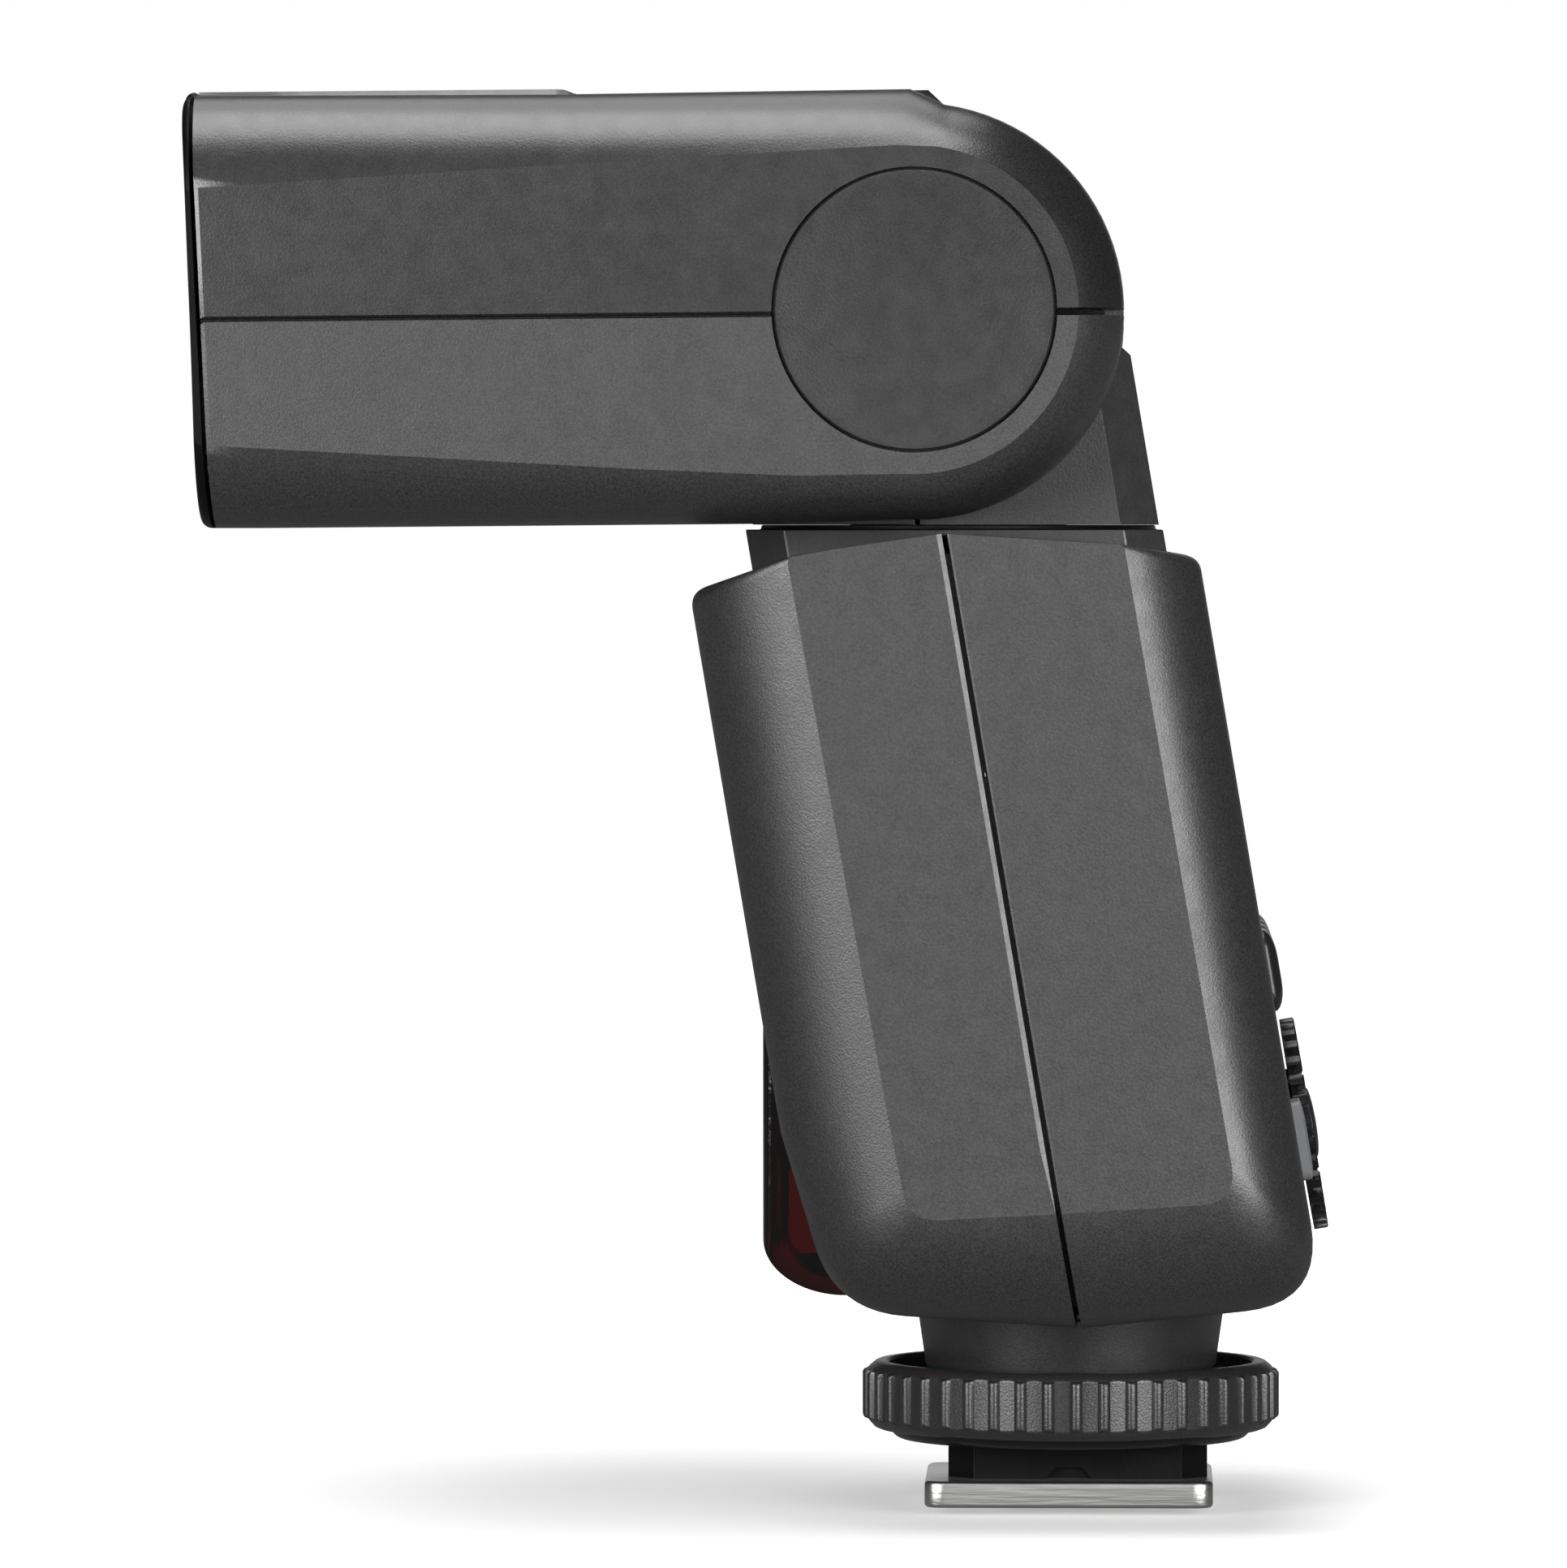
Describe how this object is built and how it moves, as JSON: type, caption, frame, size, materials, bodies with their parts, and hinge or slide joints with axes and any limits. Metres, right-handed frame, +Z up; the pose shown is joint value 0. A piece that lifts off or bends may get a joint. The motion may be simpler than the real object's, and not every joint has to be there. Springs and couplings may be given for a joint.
{
  "type": "speedlight flash",
  "caption": "Compact hot-shoe flash with a swivelling, tilting zoom head, leaning body, ribbed lock ring and metal shoe foot.",
  "frame": {"origin": "middle of the underside of the shoe foot, where it meets the floor of the shoe that holds it", "axes": "+Z up through the foot, the flash window faces -Y, the display faces +Y, +X is the flash's own left side"},
  "size_m": [0.062, 0.0831, 0.1042],
  "materials": {
    "casing_plastic": "fine spark-eroded charcoal moulding",
    "gloss_black": "smooth black moulding",
    "grey_button": "pale grey moulding",
    "foot_metal": "satin plated steel",
    "contact_brass": "plated contact metal",
    "smoked_red": "smoked dark red translucent window",
    "lamp_red": "red lamp housing",
    "lens_clear": "moulded prismatic lens",
    "card_white": "white matt card",
    "board_green": "circuit board",
    "reflector_mirror": "bright anodised sheet",
    "tube_glass": "flash tube glass",
    "cell_wrap": "plain cell wrap"
  },
  "bodies": {
    "body": {"foot_plate": "foot_metal", "foot_block": "gloss_black", "foot_screw_1": "foot_metal", "foot_screw_2": "foot_metal", "shoe_neck": "casing_plastic", "body_front_shell": "casing_plastic", "body_rear_shell": "casing_plastic", "assist_lamp_window": "smoked_red", "assist_lamp_block": "lamp_red", "lcd_window": "gloss_black", "lcd_module": "grey_button", "main_board": "board_green", "battery_tray": "gloss_black", "battery_contact_plate": "foot_metal", "battery_cell_lower": "cell_wrap", "battery_cell_upper": "cell_wrap", "main_capacitor": "gloss_black", "flash_transformer": "grey_button", "swivel_collar": "casing_plastic"},
    "trunk": {"swivel_hub": "foot_metal", "swivel_retaining_ring": "foot_metal", "trunk_front_cover": "casing_plastic", "trunk_rear_cover": "casing_plastic", "tilt_axle_left": "foot_metal", "tilt_axle_right": "foot_metal"},
    "head": {"head_upper_shell": "casing_plastic", "head_lower_shell": "casing_plastic", "front_bezel": "gloss_black", "fresnel_lens": "lens_clear", "pivot_cap_left": "casing_plastic", "pivot_cap_right": "casing_plastic", "panel_tray": "gloss_black", "zoom_motor": "foot_metal", "zoom_guide_rod": "foot_metal"},
    "lead_screw": {"zoom_lead_screw": "foot_metal"},
    "carriage": {"zoom_carriage": "gloss_black", "reflector": "reflector_mirror", "flash_tube": "tube_glass"},
    "card": {"bounce_card": "card_white"},
    "panel": {"wide_panel": "lens_clear"},
    "washer": {"clamp_washer": "gloss_black"},
    "ring": {"lock_ring": "gloss_black"},
    "shoe_pin": {"lock_pin": "foot_metal"},
    "centre_contact": {"centre_contact_pin": "contact_brass"},
    "contact_1": {"contact_pin_1": "contact_brass"},
    "contact_2": {"contact_pin_2": "contact_brass"},
    "contact_3": {"contact_pin_3": "contact_brass"},
    "contact_4": {"contact_pin_4": "contact_brass"},
    "dial": {"select_dial": "gloss_black"},
    "set_key": {"set_button": "gloss_black"},
    "key_1": {"menu_key_1": "gloss_black"},
    "key_2": {"menu_key_2": "gloss_black"},
    "key_3": {"menu_key_3": "gloss_black"},
    "key_4": {"menu_key_4": "gloss_black"},
    "test_key": {"test_button": "grey_button"},
    "switch": {"power_slider": "gloss_black"},
    "door_rail": {"door_slide_rail": "foot_metal"},
    "door": {"battery_door": "casing_plastic", "battery_spring_plate": "foot_metal"}
  },
  "joints": [
    {"name": "swivel", "type": "hinge", "parent": "body", "child": "trunk", "pos_m": [0, -0.00825, 0.072], "axis": [0, 0, 1], "range_deg": [-90, 180]},
    {"name": "tilt", "type": "hinge", "parent": "trunk", "child": "head", "pos_m": [0, -0.01098, 0.08756], "axis": [-1, 0, 0], "range_deg": [0, 90]},
    {"name": "screw_turn", "type": "hinge", "parent": "head", "child": "lead_screw", "pos_m": [0.0239, -0.045, 0.08156], "axis": [0, 1, 0], "range_deg": [0, 720]},
    {"name": "zoom", "type": "slide", "parent": "head", "child": "carriage", "axis": [0, -1, 0], "range_m": [0, 0.012]},
    {"name": "card_pull", "type": "slide", "parent": "head", "child": "card", "axis": [0, -1, 0], "range_m": [0, 0.0215]},
    {"name": "panel_pull", "type": "slide", "parent": "head", "child": "panel", "axis": [0, -1, 0], "range_m": [0, 0.0215]},
    {"name": "washer_drop", "type": "slide", "parent": "body", "child": "washer", "axis": [0, 0, 1], "range_m": [-0.0012, 0]},
    {"name": "ring_turn", "type": "hinge", "parent": "washer", "child": "ring", "pos_m": [0, 0.0001, 0.0078], "axis": [0, 0, 1], "range_deg": [-360, 0]},
    {"name": "pin_drop", "type": "slide", "parent": "body", "child": "shoe_pin", "axis": [0, 0, 1], "range_m": [-0.0012, 0]},
    {"name": "centre_contact_press", "type": "slide", "parent": "body", "child": "centre_contact", "axis": [0, 0, 1], "range_m": [0, 0.0005], "stiffness_N_per_m": 600},
    {"name": "contact_1_press", "type": "slide", "parent": "body", "child": "contact_1", "axis": [0, 0, 1], "range_m": [0, 0.0005], "stiffness_N_per_m": 600},
    {"name": "contact_2_press", "type": "slide", "parent": "body", "child": "contact_2", "axis": [0, 0, 1], "range_m": [0, 0.0005], "stiffness_N_per_m": 600},
    {"name": "contact_3_press", "type": "slide", "parent": "body", "child": "contact_3", "axis": [0, 0, 1], "range_m": [0, 0.0005], "stiffness_N_per_m": 600},
    {"name": "contact_4_press", "type": "slide", "parent": "body", "child": "contact_4", "axis": [0, 0, 1], "range_m": [0, 0.0005], "stiffness_N_per_m": 600},
    {"name": "dial_turn", "type": "hinge", "parent": "body", "child": "dial", "pos_m": [0, 0.01719, 0.02783], "axis": [0, 0.9861, 0.1664], "continuous": true},
    {"name": "set_press", "type": "slide", "parent": "body", "child": "set_key", "axis": [0, -0.9861, -0.1664], "range_m": [0, 0.0005], "stiffness_N_per_m": 1000},
    {"name": "key_1_press", "type": "slide", "parent": "body", "child": "key_1", "axis": [0, -0.9861, -0.1664], "range_m": [0, 0.0005], "stiffness_N_per_m": 1000},
    {"name": "key_2_press", "type": "slide", "parent": "body", "child": "key_2", "axis": [0, -0.9861, -0.1664], "range_m": [0, 0.0005], "stiffness_N_per_m": 1000},
    {"name": "key_3_press", "type": "slide", "parent": "body", "child": "key_3", "axis": [0, -0.9861, -0.1664], "range_m": [0, 0.0005], "stiffness_N_per_m": 1000},
    {"name": "key_4_press", "type": "slide", "parent": "body", "child": "key_4", "axis": [0, -0.9861, -0.1664], "range_m": [0, 0.0005], "stiffness_N_per_m": 1000},
    {"name": "test_press", "type": "slide", "parent": "body", "child": "test_key", "axis": [0, -0.9861, -0.1664], "range_m": [0, 0.0005], "stiffness_N_per_m": 1000},
    {"name": "power_slide", "type": "slide", "parent": "body", "child": "switch", "axis": [0, -0.1664, 0.9861], "range_m": [0, 0.0036]},
    {"name": "door_slide", "type": "slide", "parent": "body", "child": "door_rail", "axis": [0, 0.1664, -0.9861], "range_m": [0, 0.003]},
    {"name": "door_swing", "type": "hinge", "parent": "door_rail", "child": "door", "pos_m": [-0.0288, -0.01112, 0.03695], "axis": [0, -0.1664, 0.9861], "range_deg": [0, 100]}
  ],
  "couplings": [
    {"joint": "screw_turn", "follows": "zoom", "rad_per_m": 1047.2},
    {"joint": "ring_turn", "follows": "washer_drop", "rad_per_m": 5235.9},
    {"joint": "pin_drop", "follows": "washer_drop", "ratio": 1}
  ]
}
